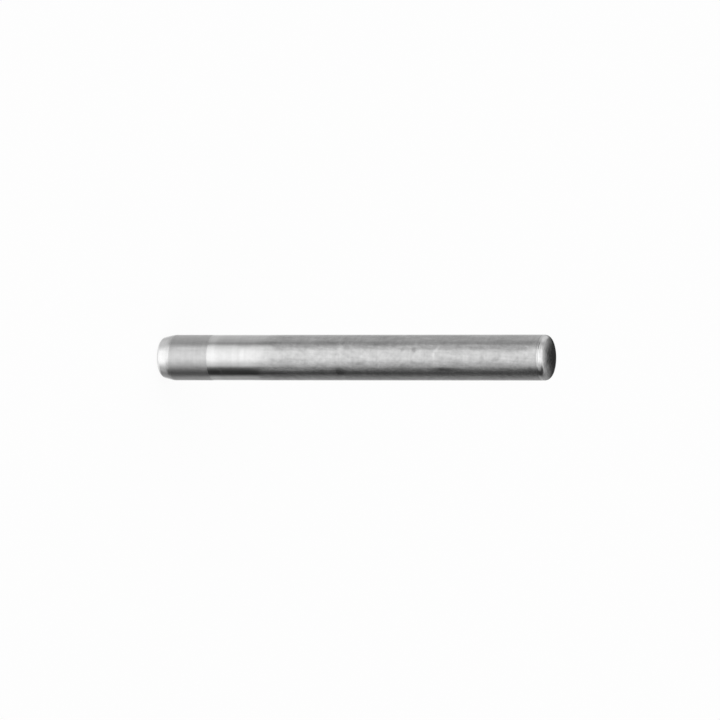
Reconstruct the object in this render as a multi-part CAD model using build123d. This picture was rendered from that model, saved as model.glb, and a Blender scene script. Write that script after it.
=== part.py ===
from build123d import *
import math
import os

# Socket retaining pin: the steel cross pin that locks an impact socket to its square drive.
# It is turned and ground from one bar, so it is one solid.  It stands on the flat face of its
# lead end, with the origin at the middle of that face and +Z along the pin's axis.

# Driving dimensions, in millimetres and degrees.
PIN_DIAMETER = 4.0
PIN_LENGTH = 36.5

# Lead end, which enters the socket's cross hole first: a flat face with a well rounded corner,
# then a shallow taper that runs out softly into the shank.
LEAD_LENGTH = 1.08
LEAD_HALF_ANGLE = 13.0
LEAD_CORNER_RADIUS = 0.45
LEAD_BLEND_RADIUS = 2.0

# Blunt end, which is driven against: a shallow crown with a rolled edge.
CROWN_RADIUS = 4.5
EDGE_RADIUS = 0.5

shank_radius = PIN_DIAMETER / 2
lead_corner = shank_radius - LEAD_LENGTH * math.tan(math.radians(LEAD_HALF_ANGLE))
crown_centre = PIN_LENGTH - CROWN_RADIUS
shoulder_angle = math.degrees(math.acos(shank_radius / CROWN_RADIUS))
shoulder_height = crown_centre + CROWN_RADIUS * math.sin(math.radians(shoulder_angle))


def pin_section():
    """Half of the pin's lengthwise section, on the side of the axis where x is positive."""
    with BuildSketch(Plane.XZ) as section:
        with BuildLine():
            lower = Polyline(
                (0, 0),
                (lead_corner, 0),
                (shank_radius, LEAD_LENGTH),
                (shank_radius, shoulder_height),
            )
            crown = CenterArc((0, crown_centre), CROWN_RADIUS, shoulder_angle, 90 - shoulder_angle)
            Line(crown @ 1, lower @ 0)
        make_face()
        rounded = (
            ((lead_corner, 0), LEAD_CORNER_RADIUS),
            ((shank_radius, LEAD_LENGTH), LEAD_BLEND_RADIUS),
            ((shank_radius, shoulder_height), EDGE_RADIUS),
        )
        for corner, radius in rounded:
            fillet(section.vertices().sort_by_distance(corner)[0], radius)
    return section.sketch


def retaining_pin():
    """The section turned through a full circle about the pin's axis."""
    return revolve(pin_section(), Axis.Z, 360)


os.makedirs("parts", exist_ok=True)
export_step(retaining_pin(), "parts/retaining_pin.step")
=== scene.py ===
"""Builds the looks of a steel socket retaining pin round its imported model, and sets it in a plain studio."""

import math

import bpy
from bpy.props import FloatProperty, FloatVectorProperty, IntProperty, PointerProperty
from mathutils import Matrix, Vector


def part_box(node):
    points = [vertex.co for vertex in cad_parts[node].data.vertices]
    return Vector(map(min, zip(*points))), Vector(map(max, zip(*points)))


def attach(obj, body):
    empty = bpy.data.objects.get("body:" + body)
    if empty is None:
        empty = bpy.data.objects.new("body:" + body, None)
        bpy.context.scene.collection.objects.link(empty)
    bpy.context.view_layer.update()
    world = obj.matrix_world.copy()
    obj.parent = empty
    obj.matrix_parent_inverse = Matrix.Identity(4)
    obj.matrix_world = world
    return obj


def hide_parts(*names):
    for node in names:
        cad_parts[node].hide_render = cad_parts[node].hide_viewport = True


bl_info = {
    "name": "Socket retaining pin",
    "version": (1, 0, 0),
    "blender": (4, 5, 0),
    "location": "3D View > Sidebar > Retaining Pin",
    "description": "Makes a ground steel cross pin for a socket, and a plain studio for it",
    "category": "Add Mesh",
}

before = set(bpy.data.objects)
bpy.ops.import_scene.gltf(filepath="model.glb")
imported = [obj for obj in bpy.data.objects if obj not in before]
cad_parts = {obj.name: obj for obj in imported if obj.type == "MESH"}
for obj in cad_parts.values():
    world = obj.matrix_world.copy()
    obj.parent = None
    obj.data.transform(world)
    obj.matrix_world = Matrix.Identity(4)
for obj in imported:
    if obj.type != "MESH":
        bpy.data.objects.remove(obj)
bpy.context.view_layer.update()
NODE = "retaining_pin"
NODE_LOW, NODE_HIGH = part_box(NODE)
MM = 0.001
SAME_PLACE = 0.001 * MM
SENSOR_WIDTH = 36.0


# Sizes and finishes that a user would change


class PinShape(bpy.types.PropertyGroup):
    """The turned form of the pin."""

    diameter: FloatProperty(
        name="Diameter",
        description="Across the straight shank",
        default=4.0 * MM,
        unit="LENGTH",
    )
    length: FloatProperty(
        name="Length",
        description="From the lead face to the top of the dome",
        default=36.5 * MM,
        unit="LENGTH",
    )
    lead_length: FloatProperty(
        name="Lead Length",
        description="From the lead face to the start of the straight shank",
        default=1.08 * MM,
        unit="LENGTH",
    )
    lead_angle: FloatProperty(
        name="Lead Angle",
        description="Slope of the lead taper from the axis",
        default=math.radians(13.0),
        subtype="ANGLE",
    )
    lead_corner: FloatProperty(
        name="Lead Corner Radius",
        description="Round between the lead face and the taper",
        default=0.45 * MM,
        unit="LENGTH",
    )
    lead_blend: FloatProperty(
        name="Lead Blend Radius",
        description="Round where the taper runs out into the shank",
        default=2.0 * MM,
        unit="LENGTH",
    )
    edge: FloatProperty(
        name="Edge Radius",
        description="Rolled edge of the blunt end",
        default=0.5 * MM,
        unit="LENGTH",
    )
    dome: FloatProperty(
        name="Dome Radius",
        description="Radius of the shallow dome on the blunt end",
        default=4.5 * MM,
        unit="LENGTH",
    )
    waviness: FloatProperty(
        name="Waviness",
        description="Height of the slow unevenness that handling left on the shank",
        default=0.005 * MM,
        unit="LENGTH",
    )
    facets: IntProperty(
        name="Facets Around",
        description="Number of facets round the pin",
        default=160,
        min=24,
    )
    rings: IntProperty(
        name="Rings Along",
        description="Number of rings along the straight shank",
        default=200,
        min=2,
    )


class PinFinish(bpy.types.PropertyGroup):
    """The finish of the ground steel, from the lead end to the blunt end."""

    steel: FloatVectorProperty(
        name="Steel",
        description="Colour of the clean ground steel",
        default=(0.60, 0.60, 0.60),
        subtype="COLOR",
    )
    worn_steel: FloatVectorProperty(
        name="Worn Steel",
        description="Colour of the steel where it is scuffed or dulled",
        default=(0.50, 0.50, 0.50),
        subtype="COLOR",
    )
    band_end: FloatProperty(
        name="Dull Band End",
        description="Height at which the dull band next to the lead ends",
        default=4.85 * MM,
        unit="LENGTH",
    )
    polish_end: FloatProperty(
        name="Polish End",
        description="Height at which the polish beyond the dull band has worn off",
        default=10.9 * MM,
        unit="LENGTH",
    )
    rub_height: FloatProperty(
        name="Rub Mark Height",
        description="Height of the narrow ring that a hole's edge has rubbed bright",
        default=17.3 * MM,
        unit="LENGTH",
    )
    polished: FloatProperty(
        name="Polished Roughness",
        description="Roughness of the polished steel",
        default=0.13,
        min=0.0,
        max=1.0,
    )
    dulled: FloatProperty(
        name="Dull Band Roughness",
        description="Roughness of the dull band",
        default=0.31,
        min=0.0,
        max=1.0,
    )
    scuffed: FloatProperty(
        name="Scuffed Roughness",
        description="Roughness of the scuffed stretch",
        default=0.27,
        min=0.0,
        max=1.0,
    )
    dome: FloatProperty(
        name="Dome Roughness",
        description="Roughness of the domed face of the blunt end",
        default=0.22,
        min=0.0,
        max=1.0,
    )


class StageLook(bpy.types.PropertyGroup):
    """The floor, the light and the camera."""

    floor: FloatVectorProperty(
        name="Floor",
        description="Colour of the floor",
        default=(0.90, 0.90, 0.90),
        subtype="COLOR",
    )
    floor_size: FloatProperty(
        name="Floor Size",
        description="Side of the square floor",
        default=4.0,
        unit="LENGTH",
    )
    floor_glow: FloatProperty(
        name="Floor Glow",
        description="Share of the floor that looks white; the rest shows its shadow",
        default=0.92,
        min=0.0,
        max=1.0,
    )
    room: FloatProperty(
        name="Room Brightness",
        description="Brightness of the room behind the studio's panels, where white paper is 1",
        default=0.68,
        min=0.0,
    )
    elevation: FloatProperty(
        name="Camera Elevation",
        description="Angle of the camera above the horizon",
        default=math.radians(20.5),
        subtype="ANGLE",
    )
    lens: FloatProperty(
        name="Lens",
        description="Focal length in millimetres",
        default=600.0,
    )
    view_width: FloatProperty(
        name="View Width",
        description="Width of the view at the pin",
        default=63.05 * MM,
        unit="LENGTH",
    )
    aim_right: FloatProperty(
        name="Aim Right",
        description="How far right of the pin's middle the camera aims",
        default=0.27 * MM,
        unit="LENGTH",
    )
    aim_below: FloatProperty(
        name="Aim Below",
        description="How far below the pin's middle the camera aims",
        default=0.209 * MM,
        unit="LENGTH",
    )


# Node helpers


def socket(owner, key):
    """The first enabled socket with that name, or the socket at that index."""
    if isinstance(key, int):
        return owner[key]
    return next(s for s in owner if s.name == key and s.enabled)


class Net:
    """Adds nodes to a tree and joins them up."""

    def __init__(self, tree):
        self.tree = tree

    def add(self, kind, inputs=None, **settings):
        node = self.tree.nodes.new(kind)
        for key, value in settings.items():
            setattr(node, key, value)
        for key, value in (inputs or {}).items():
            target = socket(node.inputs, key)
            if isinstance(value, bpy.types.NodeSocket):
                self.tree.links.new(value, target)
            else:
                target.default_value = value
        return node

    def math(self, operation, *values):
        return self.add("ShaderNodeMath", dict(enumerate(values)), operation=operation).outputs[0]

    def vector(self, x=0.0, y=0.0, z=0.0):
        return self.add("ShaderNodeCombineXYZ", {"X": x, "Y": y, "Z": z}).outputs[0]

    def fade(self, value, start, end):
        """Goes smoothly from 0 at start to 1 at end, which may lie below start."""
        inputs = {"Value": value, "From Min": start, "From Max": end}
        return self.add("ShaderNodeMapRange", inputs, interpolation_type="SMOOTHSTEP").outputs[0]

    def mix(self, share, first, second):
        inputs = {"Factor": share, 2: first, 3: second}
        return self.add("ShaderNodeMix", inputs, data_type="FLOAT").outputs[0]

    def height_and_turn(self, vector):
        """The vector's height, and its turn round the pin's axis from the front and to the left."""
        parts = self.add("ShaderNodeSeparateXYZ", {"Vector": vector}).outputs
        across = self.math("MULTIPLY", parts["X"], -1.0)
        ahead = self.math("MULTIPLY", parts["Y"], -1.0)
        return parts["Z"], self.math("ARCTAN2", across, ahead)


# The pin


def open_tree(name, inputs):
    """A geometry tree with the named inputs, and one mesh as its output."""
    tree = bpy.data.node_groups.new(name, "GeometryNodeTree")
    for label, kind in inputs:
        tree.interface.new_socket(label, in_out="INPUT", socket_type=kind)
    tree.interface.new_socket("Pin", in_out="OUTPUT", socket_type="NodeSocketGeometry")
    net = Net(tree)
    given = net.add("NodeGroupInput").outputs
    return tree, net, given


def section_round(net, radius, across, up, start, sweep, steps):
    """One round of the pin's half section: an arc about a centre, with x across the pin and y along it."""
    arc = net.add(
        "GeometryNodeCurveArc",
        {"Resolution": steps, "Radius": radius, "Start Angle": start, "Sweep Angle": sweep},
        mode="RADIUS",
    )
    placed = net.add(
        "GeometryNodeTransform",
        {"Geometry": arc.outputs[0], "Translation": net.vector(across, up)},
    )
    return placed.outputs[0]


def section_run(net, across, low, high, count):
    """A straight run of the half section, parallel to the axis."""
    line = net.add(
        "GeometryNodeCurvePrimitiveLine",
        {"Start": net.vector(across, low), "End": net.vector(across, high)},
    )
    return net.add("GeometryNodeResampleCurve", {"Curve": line.outputs[0], "Count": count}).outputs[0]


def half_section(net, given):
    """The pin's half section as one curve, from the middle of the lead face to the top of the dome."""
    radius = given["Pin Radius"]
    angle = given["Lead Angle"]
    corner = given["Lead Corner Radius"]
    blend = given["Lead Blend Radius"]
    edge = given["Edge Radius"]
    dome = given["Dome Radius"]
    quarter = math.pi / 2

    slope = net.math("TANGENT", angle)
    sharp_corner = net.math("SUBTRACT", radius, net.math("MULTIPLY", given["Lead Length"], slope))
    corner_lean = net.math("SUBTRACT", slope, net.math("DIVIDE", 1.0, net.math("COSINE", angle)))
    corner_across = net.math("ADD", sharp_corner, net.math("MULTIPLY", corner, corner_lean))
    corner_sweep = net.math("SUBTRACT", quarter, angle)

    half_turn = net.math("TANGENT", net.math("MULTIPLY", angle, 0.5))
    blend_up = net.math("ADD", given["Lead Length"], net.math("MULTIPLY", blend, half_turn))
    blend_across = net.math("SUBTRACT", radius, blend)

    edge_across = net.math("SUBTRACT", radius, edge)
    edge_reach = net.math("SUBTRACT", dome, edge)
    edge_sweep = net.math("ARCCOSINE", net.math("DIVIDE", edge_across, edge_reach))
    dome_up = net.math("SUBTRACT", given["Pin Length"], dome)
    edge_rise = net.math("MULTIPLY", edge_reach, net.math("SINE", edge_sweep))
    edge_up = net.math("ADD", dome_up, edge_rise)
    dome_sweep = net.math("SUBTRACT", quarter, edge_sweep)

    foot = net.add("GeometryNodeMeshLine", {"Count": 1}).outputs[0]
    curves = (
        section_round(net, corner, corner_across, corner, -quarter, corner_sweep, 24),
        section_round(net, blend, blend_across, blend_up, net.math("MULTIPLY", angle, -1.0), angle, 8),
        section_run(net, radius, blend_up, edge_up, given["Rings Along"]),
        section_round(net, edge, edge_across, edge_up, 0.0, edge_sweep, 20),
        section_round(net, dome, 0.0, dome_up, edge_sweep, dome_sweep, 16),
    )
    pieces = [net.add("GeometryNodeMeshToPoints", {"Mesh": foot}).outputs[0]]
    for curve in curves:
        points = net.add("GeometryNodeCurveToPoints", {"Curve": curve}, mode="EVALUATED")
        pieces.append(points.outputs[0])
    joined = net.add("GeometryNodeJoinGeometry")
    for piece in reversed(pieces):
        net.tree.links.new(piece, joined.inputs[0])
    return net.add("GeometryNodePointsToCurves", {"Points": joined.outputs[0]}).outputs[0]


def turned(net, section, radius, facets):
    """Turns the half section about the axis. It is swept along a ring, which is then taken off again."""
    ring = net.add("GeometryNodeCurvePrimitiveCircle", {"Resolution": facets, "Radius": radius}).outputs[0]
    upright = net.add("GeometryNodeSetCurveNormal", {"Curve": ring}, mode="Z_UP").outputs[0]
    place = net.add("GeometryNodeInputPosition").outputs[0]
    parts = net.add("ShaderNodeSeparateXYZ", {"Vector": place}).outputs
    inward = net.math("SUBTRACT", parts["X"], radius)
    moved = net.vector(inward, net.math("MULTIPLY", parts["Y"], -1.0))
    profile = net.add("GeometryNodeSetPosition", {"Geometry": section, "Position": moved}).outputs[0]
    swept = net.add("GeometryNodeCurveToMesh", {"Curve": upright, "Profile Curve": profile}).outputs[0]
    outward = net.add("GeometryNodeFlipFaces", {"Mesh": swept}).outputs[0]
    return net.add("GeometryNodeMergeByDistance", {"Geometry": outward, "Distance": SAME_PLACE}).outputs[0]


def wavy(net, solid, given):
    """Lets the shank's surface rise and fall a little, and leaves both ends true."""
    place = net.add("GeometryNodeInputPosition").outputs[0]
    up = net.add("ShaderNodeSeparateXYZ", {"Vector": place}).outputs["Z"]
    start = net.math("MULTIPLY", given["Lead Length"], 1.3)
    end = net.math("SUBTRACT", given["Pin Length"], net.math("MULTIPLY", given["Edge Radius"], 2.0))
    rise = net.fade(up, start, net.math("ADD", start, given["Pin Radius"]))
    fall = net.fade(up, net.math("SUBTRACT", end, given["Pin Radius"]), end)
    share = net.math("SUBTRACT", rise, fall)
    inputs = {"Vector": place, "Scale": 0.55 / MM, "Detail": 1.5, "Roughness": 0.4}
    value = net.add("ShaderNodeTexNoise", inputs).outputs[0]
    value = net.math("MULTIPLY_ADD", value, 2.0, -1.0)
    height = net.math("MULTIPLY", net.math("MULTIPLY", value, share), given["Waviness"])
    normal = net.add("GeometryNodeInputNormal").outputs[0]
    offset = net.add("ShaderNodeVectorMath", {0: normal, "Scale": height}, operation="SCALE").outputs[0]
    return net.add("GeometryNodeSetPosition", {"Geometry": solid, "Offset": offset}).outputs[0]


def pin_tree():
    """The pin's geometry tree: half section, turning, waviness, shading and material."""
    sizes = (
        "Pin Radius",
        "Pin Length",
        "Lead Length",
        "Lead Angle",
        "Lead Corner Radius",
        "Lead Blend Radius",
        "Edge Radius",
        "Dome Radius",
        "Waviness",
    )
    inputs = [(name, "NodeSocketFloat") for name in sizes]
    inputs += [("Facets Around", "NodeSocketInt"), ("Rings Along", "NodeSocketInt")]
    inputs += [("Steel", "NodeSocketMaterial")]
    tree, net, given = open_tree("Turned pin", inputs)
    section = half_section(net, given)
    solid = turned(net, section, given["Pin Radius"], given["Facets Around"])
    uneven = wavy(net, solid, given)
    smooth = net.add("GeometryNodeSetShadeSmooth", {"Geometry": uneven}).outputs[0]
    real = net.add("GeometryNodeRealizeInstances", {"Geometry": smooth}).outputs[0]
    done = net.add("GeometryNodeSetMaterial", {"Geometry": real, "Material": given["Steel"]}).outputs[0]
    net.add("NodeGroupOutput", {0: done})
    return tree


def baked(tree, values, name):
    """A plain mesh object made by the tree with those values for its inputs."""
    carrier = bpy.data.objects.new(name + "_carrier", bpy.data.meshes.new(name + "_carrier"))
    bpy.context.scene.collection.objects.link(carrier)
    modifier = carrier.modifiers.new("Tree", "NODES")
    modifier.node_group = tree
    for item in tree.interface.items_tree:
        if item.in_out == "INPUT":
            modifier[item.identifier] = values[item.name]
    graph = bpy.context.evaluated_depsgraph_get()
    mesh = bpy.data.meshes.new_from_object(carrier.evaluated_get(graph), depsgraph=graph)
    carrier.modifiers.remove(modifier)
    bpy.data.objects.remove(carrier)
    mesh.name = name
    piece = bpy.data.objects.new(name, mesh)
    bpy.context.scene.collection.objects.link(piece)
    return piece


# Marks on the steel, one to a line: name, height along the pin in millimetres, degrees round
# it from the front and to the left, half length along the pin and half width round it in
# millimetres, lean in degrees, and how much brighter or darker the steel is there. The nicks, pits,
# dents and short scuffs at the front, and all the marks behind and on the far and near sides, are
# marks of wear. The long streaks along the front, and the pale and dull lines, patches, sides and
# rub ends, are painted highlight, painted reflection and painted shade.
MARKS = (
    ("upper part of the nick", 26.40, 22.0, 0.19, 0.38, -40.0, 0.20),
    ("lower part of the nick", 26.12, 4.0, 0.17, 0.50, 4.0, 0.13),
    ("short nick", 8.20, 9.0, 0.20, 0.65, -3.0, 0.06),
    ("pit above the front", 24.25, 20.0, 0.22, 0.28, 20.0, -0.32),
    ("small pit beside it", 23.20, 20.0, 0.20, 0.24, 0.0, -0.22),
    ("pit at the upper edge", 22.30, 30.0, 0.24, 0.24, -25.0, -0.18),
    ("faint pit at the upper edge", 20.60, 33.0, 0.20, 0.20, 0.0, -0.14),
    ("scuff toward the blunt end", 32.90, 17.5, 1.60, 0.17, 3.0, -0.14),
    ("scuff near the blunt end", 34.40, 20.0, 0.60, 0.17, -6.0, -0.14),
    ("bright rub above the scuffs", 29.60, 32.0, 1.30, 0.12, 2.0, 0.12),
    ("oval scuff", 31.85, -4.0, 0.44, 0.20, 14.0, -0.21),
    ("small oval scuff", 30.60, 0.0, 0.22, 0.20, 20.0, -0.19),
    ("scuff below the front", 24.10, -11.5, 0.46, 0.18, -20.0, -0.15),
    ("second scuff below the front", 25.05, -13.0, 0.34, 0.17, 15.0, -0.13),
    ("scuff at mid length", 19.30, -14.0, 0.50, 0.18, 10.0, -0.13),
    ("lower scuff", 23.20, -23.0, 0.30, 0.34, 15.0, -0.18),
    ("dark dent", 27.05, -31.0, 1.30, 0.20, 0.0, -0.50),
    ("dark dent by the blunt end", 35.30, -34.0, 0.50, 0.24, 0.0, -0.28),
    # From here on, until the pit behind, the marks are painted highlight, painted reflection and painted
    # shade: they lighten or darken the steel where the bright and dark bands that the studio mirrors fall on
    # the front and the sides. Only the faint scuff at the front and the scuff past the polish among them are
    # marks of wear.
    ("painted shade on the bright band's upper edge", 28.20, 24.0, 8.40, 0.19, 0.3, -0.15),
    ("painted shade on the bright band's lower edge", 26.30, -14.5, 8.80, 0.30, 0.3, -0.09),
    ("painted highlight high in the bright band", 17.80, 16.0, 8.50, 0.15, 0.2, 0.09),
    ("painted dark reflection low along the front", 17.50, -43.5, 8.00, 0.14, 0.0, -0.14),
    ("painted highlight on the dull band's upper edge", 3.10, 24.5, 1.90, 0.18, 0.0, 0.16),
    ("painted highlight line past the polish", 10.60, 25.0, 1.30, 0.18, 0.0, 0.10),
    ("painted shade line past the polish", 10.40, 40.0, 1.20, 0.24, 0.0, -0.12),
    ("painted pale reflection in the dark band", 12.90, -32.5, 3.40, 0.17, 0.4, 0.40),
    ("second painted pale reflection", 19.00, -32.0, 1.50, 0.15, -0.6, 0.22),
    ("painted dark reflection low on the polish", 9.60, -44.5, 3.40, 0.14, 0.6, -0.30),
    ("faint scuff at the front", 12.10, -7.0, 1.80, 0.22, 2.0, -0.09),
    ("painted highlight at the rub", 17.40, 24.0, 0.30, 0.36, 0.0, 0.12),
    ("painted dark reflection at the rub", 17.26, -38.0, 0.44, 0.50, 0.0, -0.58),
    ("painted shade over the rub", 17.50, 52.0, 0.34, 0.50, 0.0, -0.12),
    ("painted dark reflection where the polish starts", 5.40, -40.0, 0.60, 0.36, 0.0, -0.30),
    ("painted pale line across the dark reflection", 6.10, -38.0, 0.13, 0.30, 0.0, 0.24),
    ("painted highlight where the polish starts", 5.30, 44.0, 0.42, 0.70, 0.0, 0.12),
    ("painted shade at the polish's upper end", 8.45, 32.0, 0.80, 0.24, 0.0, -0.12),
    ("painted highlight at the dull band's lower end", 4.46, -35.0, 0.35, 0.22, 0.0, 0.16),
    ("painted shade on the lead's lower corner", 0.20, -44.0, 0.30, 0.45, 0.0, -0.18),
    ("painted shade patch past the polish", 14.50, 28.0, 1.20, 0.26, 0.0, -0.12),
    ("scuff past the polish", 12.60, -23.0, 0.90, 0.20, 0.0, -0.13),
    ("painted shade patch past the rub", 19.20, -10.0, 1.00, 0.36, 0.0, -0.11),
    ("painted shade patch above mid length", 20.60, 29.0, 1.60, 0.26, 0.0, -0.10),
    ("painted shade low before the rim", 34.98, -34.0, 0.22, 0.66, 0.0, -0.15),
    ("painted shade under the pin before the rim", 33.40, -58.0, 1.90, 0.30, 0.0, -0.14),
    ("painted shade under the pin past the polish", 11.80, -57.0, 1.50, 0.30, 0.0, -0.14),
    ("painted light under the pin near the lead", 6.00, -62.0, 5.20, 0.40, 0.0, 0.15),
    ("painted shade all along the underside", 23.50, -63.0, 13.00, 0.36, 0.0, -0.14),
    ("painted shade all along the upper side", 23.50, 66.0, 13.00, 0.40, 0.0, -0.13),
    ("painted shade patch high beside the rub", 16.20, 38.0, 1.70, 0.36, 0.0, -0.09),
    ("painted light patch below the front", 8.70, -23.0, 1.10, 0.30, 0.0, 0.11),
    ("painted shade patch on the lead", 0.55, -36.0, 0.40, 0.60, 0.0, -0.09),
    ("pit behind", 14.60, 128.0, 0.22, 0.26, 20.0, -0.26),
    ("scuff behind", 28.40, -139.0, 0.80, 0.20, -12.0, -0.18),
    ("long scuff behind", 20.50, 172.0, 7.50, 0.26, 0.4, -0.12),
    ("nick behind", 21.30, 158.0, 0.14, 0.62, -18.0, 0.12),
    ("scuff on the far side", 31.20, 96.0, 0.60, 0.18, 24.0, -0.16),
    ("nick on the near side", 12.80, -97.0, 0.13, 0.52, 12.0, 0.12),
    ("pale streak on the far side", 22.00, 84.0, 4.20, 0.18, -0.5, 0.14),
)


def steel_place(net):
    """Coordinates on the pin in millimetres: place, height along the axis, and angle round it."""
    place = net.add("ShaderNodeTexCoord").outputs["Object"]
    place = net.add("ShaderNodeVectorMath", {0: place, "Scale": 1 / MM}, operation="SCALE").outputs[0]
    return place, *net.height_and_turn(place)


def noise(net, place, stretch, detail=2.0, lean=0.0):
    """A noise about 0 whose pattern has this size in millimetres each way, leaned over."""
    inputs = {"Vector": place, "Rotation": (0.0, math.radians(lean), 0.0), "Scale": stretch}
    moved = net.add("ShaderNodeMapping", inputs, vector_type="TEXTURE").outputs[0]
    inputs = {"Vector": moved, "Scale": 1.0, "Detail": detail, "Roughness": 0.5}
    value = net.add("ShaderNodeTexNoise", inputs).outputs[0]
    return net.math("MULTIPLY_ADD", value, 4.0, -2.0)


def zone(net, height, start, end, soft):
    """1 between two heights, with soft ends."""
    inside = net.fade(height, start - soft / 2, start + soft / 2)
    after = net.fade(height, end - soft / 2, end + soft / 2)
    return net.math("SUBTRACT", inside, after)


def weighed(net, shares):
    """The sum of values, each times its weight."""
    total = 0.0
    for value, weight in shares:
        total = net.math("MULTIPLY_ADD", value, weight, total)
    return total


def mark(net, height, around, radius, given):
    """How much one mark brightens or darkens the steel at each place."""
    name, middle, degrees, long, wide, lean, strength = given
    along = net.math("SUBTRACT", height, middle)
    sideways = net.math("MULTIPLY", net.math("SUBTRACT", around, math.radians(degrees)), radius)
    tilt = math.radians(lean)
    first = weighed(net, ((along, math.cos(tilt) / long), (sideways, math.sin(tilt) / long)))
    second = weighed(net, ((along, -math.sin(tilt) / wide), (sideways, math.cos(tilt) / wide)))
    reach = net.add("ShaderNodeVectorMath", {0: net.vector(first, second)}, operation="LENGTH")
    reach.label = name
    return net.math("MULTIPLY", net.fade(reach.outputs["Value"], 1.4, 0.2), strength)


def finish_zones(net, finish, shape, place, height, around):
    """Where each finish lies on the pin, as shares from 0 to 1, and the uneven height of cut edges."""
    lead_end = shape.lead_length / MM
    length = shape.length / MM
    band_end = finish.band_end / MM
    polish_end = finish.polish_end / MM
    rub = finish.rub_height / MM
    wander = noise(net, place, (1.8, 1.8, 1.8))
    nudged = net.math("MULTIPLY_ADD", wander, 0.04, height)
    rubbed = net.math("MULTIPLY_ADD", wander, 0.12, height)
    slanted = weighed(net, ((wander, 0.9), (net.math("SINE", around), -0.6)))
    slanted = net.math("ADD", slanted, height)
    lean = net.math("MULTIPLY", net.math("SINE", around), 0.07)
    leaned = net.math("SUBTRACT", nudged, lean)
    past_lead = net.fade(leaned, lead_end + 0.12, lead_end + 0.25)
    past_band = net.fade(nudged, band_end - 0.05, band_end + 0.05)
    past_polish = net.fade(slanted, polish_end - 2.0, polish_end + 0.5)
    lead = net.math("SUBTRACT", 1.0, past_lead)
    band = net.math("SUBTRACT", past_lead, past_band)
    polish = net.math("SUBTRACT", past_band, past_polish)
    ring = zone(net, rubbed, rub - 0.24, rub + 0.24, 0.34)
    rim = net.math("MULTIPLY", zone(net, leaned, length - 0.88, length - 0.36, 0.12), 0.62)
    dome = net.fade(height, length - 0.38, length - 0.30)
    bright = net.math("MAXIMUM", net.math("MAXIMUM", lead, polish), rim)
    return bright, band, dome, ring, leaned


def steel_material(finish, shape):
    """Ground steel whose finish changes along the pin, with the scuffs and rubs of wear, and with painted
    highlight, painted reflection and painted shade in its colour on the bands that the studio mirrors.
    """
    material = bpy.data.materials.new("Ground steel")
    material.use_nodes = True
    net = Net(material.node_tree)
    shader = material.node_tree.nodes["Principled BSDF"]
    shader.inputs["Metallic"].default_value = 1.0
    place, height, around = steel_place(net)
    bright, band, dome, ring, leaned = finish_zones(net, finish, shape, place, height, around)
    worn = net.math("MULTIPLY_ADD", bright, -0.75, 1.0)
    worn = net.math("MULTIPLY", worn, net.math("MULTIPLY_ADD", band, -0.5, 1.0))

    # Grinding lines run round the pin, rubs run along it, and scuffs lean across
    rings = noise(net, place, (30.0, 30.0, 0.55))
    lines = noise(net, place, (20.0, 20.0, 0.14))
    mottle = noise(net, place, (0.55, 0.55, 0.55))
    rubs = noise(net, place, (0.28, 0.28, 1.7), lean=4.0)
    rising = noise(net, place, (0.34, 0.34, 1.5), lean=38.0)
    falling = noise(net, place, (0.30, 0.30, 1.2), lean=-50.0)
    patches = noise(net, place, (1.1, 1.1, 2.6), detail=1.0)

    # Roughness
    rough = net.mix(bright, finish.scuffed, finish.polished)
    rough = net.mix(band, rough, finish.dulled)
    rough = net.mix(dome, rough, finish.dome)
    net.tree.links.new(rough, shader.inputs["Roughness"])

    # Brightness of the steel
    band_end = finish.band_end / MM
    length = shape.length / MM
    # A band low on the front, from -50.5 to -33 degrees round, is painted lighter along the scuffed steel: a
    # painted reflection that makes the dark band narrower. The noises are wear.
    painted_pale_band = zone(net, around, math.radians(-50.5), math.radians(-33.0), math.radians(11.5))
    wear_and_painted_band = weighed(net, ((mottle, 0.055), (rubs, 0.09), (rising, 0.06), (falling, 0.06), (patches, 0.05)))
    wear_and_painted_band = net.math("MULTIPLY_ADD", painted_pale_band, 0.24, wear_and_painted_band)
    tone = net.math("MULTIPLY_ADD", wear_and_painted_band, worn, 1.0)
    fresh = zone(net, height, band_end + 0.1, band_end + 0.95, 0.5)
    # Just before the rim, the steel is darker in a narrow ring. At the start of the rim it is painted
    # brighter, a painted highlight where the rim's reflection begins. Over the rolled edge it is painted
    # darker, a painted shade that dims the rolled edge's highlight.
    dark_ring_before_rim = zone(net, leaned, length - 1.04, length - 0.88, 0.10)
    edge = zone(net, leaned, length - 0.88, length - 0.66, 0.12)
    roll = zone(net, height, length - 0.62, length - 0.38, 0.16)
    cuts = weighed(net, ((rings, 0.05), (lines, 0.03), (ring, 0.04)))
    ends = weighed(net, ((fresh, 0.10), (dark_ring_before_rim, -0.06), (edge, 0.22), (roll, -0.07)))
    tone = net.math("ADD", net.math("ADD", tone, cuts), ends)
    for given in MARKS:
        tone = net.math("ADD", tone, mark(net, height, around, shape.diameter / 2 / MM, given))
    colors = {"Factor": bright, 6: (*finish.worn_steel, 1.0), 7: (*finish.steel, 1.0)}
    steel = net.add("ShaderNodeMix", colors, data_type="RGBA").outputs[2]
    toned = net.add("ShaderNodeVectorMath", {0: steel, "Scale": tone}, operation="SCALE")
    net.tree.links.new(toned.outputs[0], shader.inputs["Base Color"])

    # Fine relief
    dents = weighed(net, ((mottle, 0.9), (rubs, 0.35), (rising, 0.35), (falling, 0.35)))
    relief = net.math("MULTIPLY_ADD", dents, worn, net.math("MULTIPLY", lines, 0.04))
    bump = net.add("ShaderNodeBump", {"Strength": 1.0, "Distance": 0.004 * MM, "Height": relief})
    net.tree.links.new(bump.outputs[0], shader.inputs["Normal"])
    return material


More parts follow.
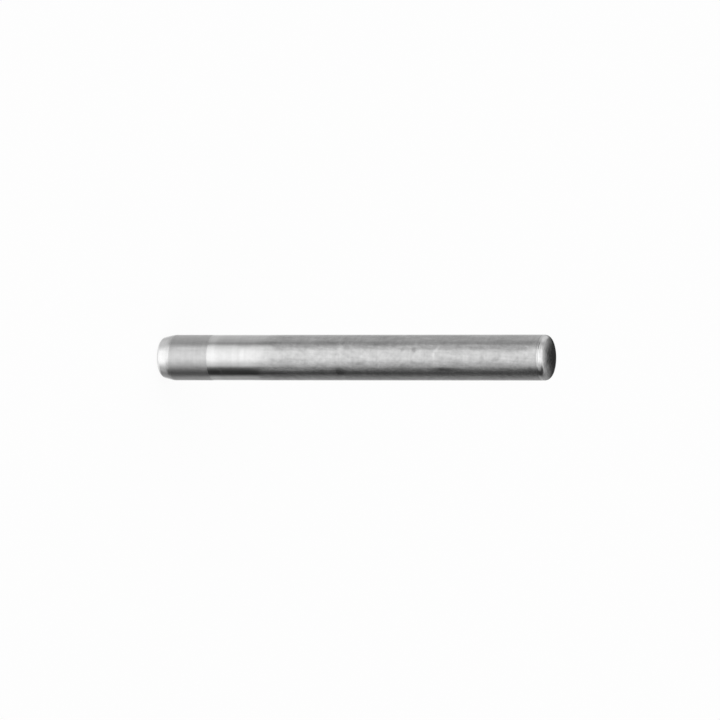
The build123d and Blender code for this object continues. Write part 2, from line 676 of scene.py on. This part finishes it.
class MakePin(bpy.types.Operator):
    """Make the steel pin."""

    bl_idname = "retaining_pin.make_pin"
    bl_label = "Make Pin"

    def execute(self, context):
        shape = context.scene.pin_shape
        steel = steel_material(context.scene.pin_finish, shape)
        values = {
            "Pin Radius": shape.diameter / 2,
            "Pin Length": shape.length,
            "Lead Length": shape.lead_length,
            "Lead Angle": shape.lead_angle,
            "Lead Corner Radius": shape.lead_corner,
            "Lead Blend Radius": shape.lead_blend,
            "Edge Radius": shape.edge,
            "Dome Radius": shape.dome,
            "Waviness": shape.waviness,
            "Facets Around": shape.facets,
            "Rings Along": shape.rings,
            "Steel": steel,
        }
        pin = baked(pin_tree(), values, "steel_pin")
        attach(pin, "root")
        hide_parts(NODE)
        return {"FINISHED"}


# The studio


# The room lights the pin evenly from all round, and each panel hangs in front of the ones above it
# in this list. A panel has a name, the turns at which it starts and ends, its lower and upper edge,
# how soft it is sideways and upwards, and a brightness. All but the brightness are in degrees as the
# pin sees them: turns from the front and to the left of it, edges up from the horizon. Left and right
# are those of somebody who looks at the pin. White paper has a brightness of 1.
PANELS = (
    ("Wall on the right", -165, -95, -45, -6, 26, 20, 0.42),
    ("Upper wall on the right", -165, -95, -6, 60, 26, 20, 0.46),
    ("Ground", -200, 200, -95, -50, 10, 30, 1.25),
    ("Ground behind", 150, 210, -60, -22, 40, 16, 1.15),
    ("Ground on the left", 50, 140, -56, -34, 40, 16, 0.9),
    ("Wall on the left", 94, 148, 0, 36, 30, 20, 1.1),
    ("Ceiling", -200, 200, 65, 95, 10, 26, 1.2),
    ("Front wall", -28, 57, -95, 68, 56, 30, 1.28),
    ("Front window", -14, 30, -50, 60, 40, 24, 1.48),
    ("Ground in front", -44, 50, -70, -40, 50, 18, 1.65),
    ("Upper front window", -20, 16, 4, 60, 40, 16, 1.8),
    ("Front skylight", -42, 74, 40, 88, 40, 24, 1.65),
    ("Dark card on the right", -107, -62, -36, 60, 30, 26, 0.05),
    ("Wide foot of the dark card", -88, -48, -24, 0, 20, 12, 0.04),
    ("Grey card on the left", 68, 106, -24, 7, 24, 16, 0.54),
    ("Narrow gap on the left", 70, 84, -24, 7, 20, 16, 0.32),
    ("Slot on the left", 38, 78, -14, -1, 20, 8, 0.1),
    ("Slot on the right", -64, -24, -16, -2, 30, 8, 0.0),
    ("Dark card behind", 161, 198, -14, 54, 24, 14, 0.03),
    ("Sill of the front window", -60, 40, -16, -4, 30, 8, 0.9),
)


def panel_share(net, turn, up, start, end, low, high, soft_across, soft_up):
    """1 where a direction falls on the panel, 0 beside it, with soft edges. All angles are in radians."""
    off = net.math("SUBTRACT", turn, (start + end) / 2)
    sideways = net.math("ABSOLUTE", net.math("WRAP", off, math.pi, -math.pi))
    half_width = (end - start) / 2
    inside = net.fade(sideways, half_width + soft_across / 2, half_width - soft_across / 2)
    upwards = net.math("ABSOLUTE", net.math("SUBTRACT", up, (low + high) / 2))
    half_height = (high - low) / 2
    level = net.fade(upwards, half_height + soft_up / 2, half_height - soft_up / 2)
    return net.math("MULTIPLY", inside, level)


def studio_light(look):
    """The studio as soft panels hung round the pin. What the camera sees directly is plain white."""
    world = bpy.data.worlds.new("Studio")
    world.use_nodes = True
    net = Net(world.node_tree)
    back = world.node_tree.nodes["Background"]
    out = world.node_tree.nodes["World Output"]
    direction = net.add("ShaderNodeTexCoord").outputs["Generated"]
    height, turn = net.height_and_turn(direction)
    up = net.math("ARCSINE", height)
    light = look.room
    for _, *edges, brightness in PANELS:
        share = panel_share(net, turn, up, *map(math.radians, edges))
        light = net.mix(share, light, brightness)
    seen = net.add("ShaderNodeLightPath").outputs["Is Camera Ray"]
    strength = net.mix(seen, light, 1.0)
    back.inputs["Color"].default_value = (1.0, 1.0, 1.0, 1.0)
    net.tree.links.new(strength, back.inputs["Strength"])
    net.tree.links.new(back.outputs[0], out.inputs["Surface"])
    bpy.context.scene.world = world


def floor_material(look):
    """A pale floor that looks white to the camera and keeps a faint shadow."""
    material = bpy.data.materials.new("Pale floor")
    material.use_nodes = True
    net = Net(material.node_tree)
    nodes = material.node_tree.nodes
    nodes.remove(nodes["Principled BSDF"])
    matt = net.add("ShaderNodeBsdfDiffuse", {"Color": (*look.floor, 1.0)}).outputs[0]
    glow = net.add("ShaderNodeEmission", {"Strength": 1.0}).outputs[0]
    path = net.add("ShaderNodeLightPath").outputs
    seen = net.math("MAXIMUM", path["Is Camera Ray"], path["Is Glossy Ray"])
    seen = net.math("MAXIMUM", seen, path["Is Transmission Ray"])
    share = net.math("MULTIPLY", seen, look.floor_glow)
    mixed = net.add("ShaderNodeMixShader", {0: share, 1: matt, 2: glow}).outputs[0]
    net.tree.links.new(mixed, nodes["Material Output"].inputs["Surface"])
    return material


def make_floor(look):
    """A wide square floor, which the pin's steel doesn't mirror, so that it mirrors the studio's panels."""
    half = look.floor_size / 2
    mesh = bpy.data.meshes.new("floor")
    corners = [(-half, -half, 0), (half, -half, 0), (half, half, 0), (-half, half, 0)]
    mesh.from_pydata(corners, [], [(0, 1, 2, 3)])
    mesh.materials.append(floor_material(look))
    floor = bpy.data.objects.new("floor", mesh)
    bpy.context.scene.collection.objects.link(floor)
    floor.visible_glossy = False


def make_camera(look):
    """A long-lens camera a little above the pin's middle, turned so that the pin lies across the view."""
    data = bpy.data.cameras.new("camera")
    data.lens = look.lens
    data.sensor_width = SENSOR_WIDTH
    distance = look.view_width * look.lens / SENSOR_WIDTH
    back = Vector((0.0, -math.cos(look.elevation), math.sin(look.elevation)))
    right = Vector((0.0, math.sin(look.elevation), math.cos(look.elevation)))
    up = back.cross(right)
    turn = Matrix((right, up, back)).transposed().to_4x4()
    aim = (NODE_LOW + NODE_HIGH) / 2 + right * look.aim_right - up * look.aim_below
    camera = bpy.data.objects.new("camera", data)
    camera.matrix_world = Matrix.Translation(aim + back * distance) @ turn
    data.clip_start = distance * 0.1
    data.clip_end = distance * 10
    bpy.context.scene.collection.objects.link(camera)
    bpy.context.scene.camera = camera


class MakeStage(bpy.types.Operator):
    """Make the floor, the light and the camera."""

    bl_idname = "retaining_pin.make_stage"
    bl_label = "Make Stage"

    def execute(self, context):
        look = context.scene.stage_look
        context.scene.view_settings.view_transform = "Standard"
        studio_light(look)
        make_floor(look)
        make_camera(look)
        return {"FINISHED"}


class PinPanel(bpy.types.Panel):
    """Lists the pin's operators and settings."""

    bl_idname = "VIEW3D_PT_retaining_pin"
    bl_label = "Retaining Pin"
    bl_space_type = "VIEW_3D"
    bl_region_type = "UI"
    bl_category = "Retaining Pin"

    def draw(self, context):
        for group in (context.scene.pin_shape, context.scene.pin_finish, context.scene.stage_look):
            box = self.layout.box()
            for name in group.__annotations__:
                box.prop(group, name)
        for operator in (MakePin, MakeStage):
            self.layout.operator(operator.bl_idname)


CLASSES = (PinShape, PinFinish, StageLook, MakePin, MakeStage, PinPanel)


def register():
    for cls in CLASSES:
        bpy.utils.register_class(cls)
    bpy.types.Scene.pin_shape = PointerProperty(type=PinShape)
    bpy.types.Scene.pin_finish = PointerProperty(type=PinFinish)
    bpy.types.Scene.stage_look = PointerProperty(type=StageLook)


def unregister():
    del bpy.types.Scene.pin_shape
    del bpy.types.Scene.pin_finish
    del bpy.types.Scene.stage_look
    for cls in reversed(CLASSES):
        bpy.utils.unregister_class(cls)


def main():
    register()
    bpy.ops.retaining_pin.make_pin()
    bpy.ops.retaining_pin.make_stage()


if __name__ == "__main__":
    main()
